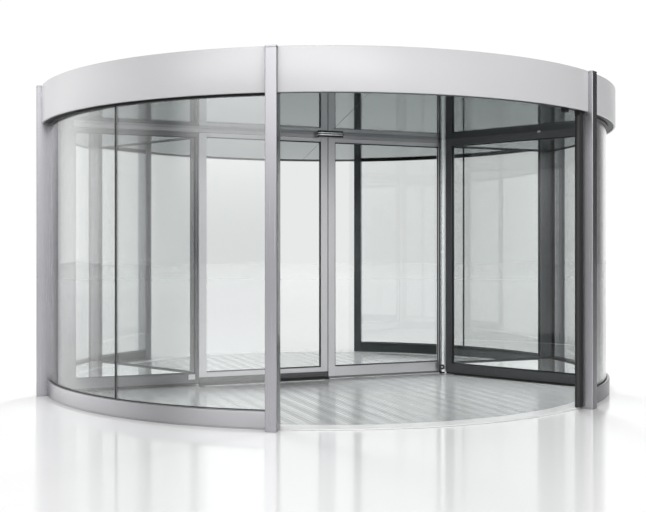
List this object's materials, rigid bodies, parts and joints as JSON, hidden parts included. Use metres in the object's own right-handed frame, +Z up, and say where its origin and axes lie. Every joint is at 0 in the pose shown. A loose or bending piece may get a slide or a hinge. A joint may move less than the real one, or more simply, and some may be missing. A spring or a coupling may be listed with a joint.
{
  "type": "automatic revolving door",
  "caption": "Large round automatic revolving door: glazed drum with deep fascia, a turning rotor with glazed showcases and a sliding door between them.",
  "frame": {"origin": "centre of the drum on the finished floor", "axes": "+Z up, -Y out through the outer doorway, +Y to the inside, X along the facade"},
  "size_m": [5.05, 4.9796, 2.5],
  "materials": {
    "mat_ribs": "fine ribs with textile inserts, matt",
    "floor_metal": "fine brushed",
    "plinth_metal": "satin anodised",
    "drum_glass": "clear laminated float glass, polished",
    "black_rubber": "matt",
    "black_metal": "black satin",
    "post_metal": "satin anodised",
    "fascia_metal": "light silver satin coating",
    "roof_metal": "plain sheet, satin",
    "drive_steel": "machined and oiled",
    "bumper_rubber": "moulded, soft",
    "ceiling_gloss": "high gloss grey, mirror-like",
    "rotor_metal": "satin anodised, dark grey",
    "sensor_plastic": "gloss black with silver rim",
    "showcase_white": "gloss white, mirror-like",
    "soffit_gloss": "gloss pale grey",
    "rotor_glass": "clear toughened float glass, polished",
    "brush_fibre": "dense nylon bristles, matt",
    "leaf_metal": "satin anodised"
  },
  "bodies": {
    "drum": {"entrance_mat": "mat_ribs", "floor_ring": "floor_metal", "plinth_left": "plinth_metal", "plinth_right": "plinth_metal", "wall_glass_left": "drum_glass", "wall_glass_right": "drum_glass", "glass_gaskets": "black_rubber", "silicone_joints": "black_rubber", "head_ring": "black_metal", "front_posts": "post_metal", "rear_posts": "post_metal", "side_posts": "post_metal", "fascia_front": "fascia_metal", "fascia_rear": "fascia_metal", "fascia_left": "fascia_metal", "fascia_right": "fascia_metal", "canopy_roof": "roof_metal", "roof_bearing": "drive_steel", "safety_bumpers": "bumper_rubber"},
    "rotor": {"rotor_ceiling": "ceiling_gloss", "rotor_hub": "drive_steel", "header_track": "rotor_metal", "door_sensors": "sensor_plastic", "showcase_right_base": "showcase_white", "showcase_right_soffit": "soffit_gloss", "showcase_right_posts": "rotor_metal", "showcase_right_bottom_rails": "rotor_metal", "showcase_right_top_rails": "rotor_metal", "showcase_right_flat_glass": "rotor_glass", "showcase_right_curved_glass": "rotor_glass", "showcase_right_brushes": "brush_fibre", "showcase_left_base": "showcase_white", "showcase_left_soffit": "soffit_gloss", "showcase_left_posts": "rotor_metal", "showcase_left_bottom_rails": "rotor_metal", "showcase_left_top_rails": "rotor_metal", "showcase_left_flat_glass": "rotor_glass", "showcase_left_curved_glass": "rotor_glass", "showcase_left_brushes": "brush_fibre"},
    "leaf_left": {"leaf_left_frame": "leaf_metal", "leaf_left_glass": "rotor_glass", "leaf_left_skirt": "black_metal"},
    "leaf_right": {"leaf_right_frame": "leaf_metal", "leaf_right_glass": "rotor_glass", "leaf_right_skirt": "black_metal"}
  },
  "joints": [
    {"name": "rotor_spin", "type": "hinge", "parent": "drum", "child": "rotor", "pos_m": [0, 0, 0], "axis": [0, 0, 1], "continuous": true},
    {"name": "leaf_left_slide", "type": "slide", "parent": "rotor", "child": "leaf_left", "axis": [-1, 0, 0], "range_m": [0, 1.04]},
    {"name": "leaf_right_slide", "type": "slide", "parent": "rotor", "child": "leaf_right", "axis": [1, 0, 0], "range_m": [0, 1.04]}
  ],
  "couplings": [
    {"joint": "leaf_right_slide", "follows": "leaf_left_slide", "ratio": 1}
  ]
}
